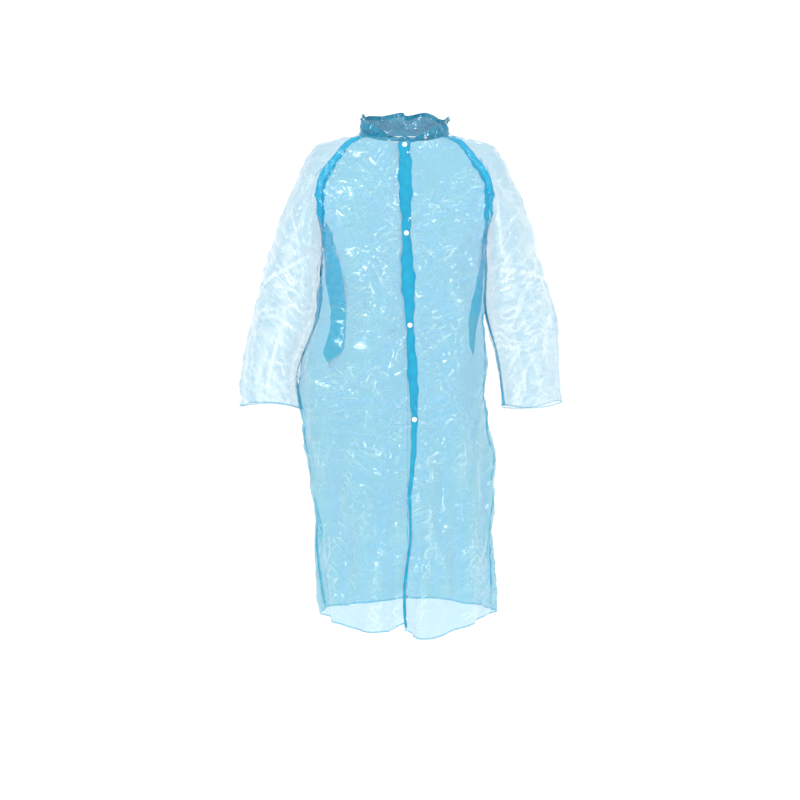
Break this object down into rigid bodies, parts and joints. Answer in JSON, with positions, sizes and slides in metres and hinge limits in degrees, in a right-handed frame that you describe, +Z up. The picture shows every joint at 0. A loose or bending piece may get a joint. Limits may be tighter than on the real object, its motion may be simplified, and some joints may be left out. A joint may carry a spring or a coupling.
{
  "type": "disposable lab coat",
  "caption": "Knee-length disposable lab coat of thin translucent blue film, with raglan sleeves, stand collar and a snap-fastened front.",
  "frame": {"origin": "middle of the neck at the height where the coat rests on the shoulders", "axes": "+Z up, the front faces -Y, +X is the wearer's left"},
  "size_m": [0.754, 0.3165, 1.1875],
  "materials": {
    "body_film": "thin translucent light blue film, glossy, finely creased",
    "sleeve_film": "thin translucent light blue film, glossy, finely creased",
    "collar_film": "doubled translucent blue film, crumpled",
    "placket_film": "folded layers of blue film, nearly opaque",
    "weld_film": "heat-welded seam of doubled blue film",
    "snap_plastic": "moulded white plastic, slightly glossy"
  },
  "bodies": {
    "coat_body": {"back_panel": "body_film", "collar": "collar_film", "front_side_left": "body_film", "front_side_right": "body_film", "shoulder_left": "sleeve_film", "shoulder_right": "sleeve_film", "side_weld_left": "weld_film", "side_weld_right": "weld_film", "raglan_weld_front_left": "weld_film", "raglan_weld_back_left": "weld_film", "raglan_weld_front_right": "weld_film", "raglan_weld_back_right": "weld_film"},
    "front_left": {"front_panel_left": "body_film", "placket_left": "placket_film", "collar_end_left": "collar_film", "snap_cap_1": "snap_plastic", "snap_socket_1": "snap_plastic", "snap_cap_2": "snap_plastic", "snap_socket_2": "snap_plastic", "snap_cap_3": "snap_plastic", "snap_socket_3": "snap_plastic", "snap_cap_4": "snap_plastic", "snap_socket_4": "snap_plastic"},
    "front_right": {"front_panel_right": "body_film", "placket_right": "placket_film", "collar_end_right": "collar_film", "snap_stud_1": "snap_plastic", "snap_back_cap_1": "snap_plastic", "snap_stud_2": "snap_plastic", "snap_back_cap_2": "snap_plastic", "snap_stud_3": "snap_plastic", "snap_back_cap_3": "snap_plastic", "snap_stud_4": "snap_plastic", "snap_back_cap_4": "snap_plastic"},
    "sleeve_left": {"sleeve_left": "sleeve_film", "sleeve_weld_left": "weld_film"},
    "sleeve_right": {"sleeve_right": "sleeve_film", "sleeve_weld_right": "weld_film"}
  },
  "joints": [
    {"name": "front_left_open", "type": "hinge", "parent": "coat_body", "child": "front_left", "pos_m": [0.06, -0.112, -0.008], "axis": [-0.0821, 0.0219, 0.9964], "range_deg": [0, 110]},
    {"name": "front_right_open", "type": "hinge", "parent": "coat_body", "child": "front_right", "pos_m": [-0.06, -0.112, -0.008], "axis": [-0.0821, -0.0219, -0.9964], "range_deg": [0, 55]},
    {"name": "sleeve_left_raise", "type": "hinge", "parent": "coat_body", "child": "sleeve_left", "pos_m": [0.185, 0, -0.06], "axis": [0, -1, 0], "range_deg": [0, 80]},
    {"name": "sleeve_right_raise", "type": "hinge", "parent": "coat_body", "child": "sleeve_right", "pos_m": [-0.185, 0, -0.06], "axis": [0, 1, 0], "range_deg": [0, 80]}
  ],
  "couplings": [
    {"joint": "front_right_open", "follows": "front_left_open", "ratio": 0.5}
  ]
}
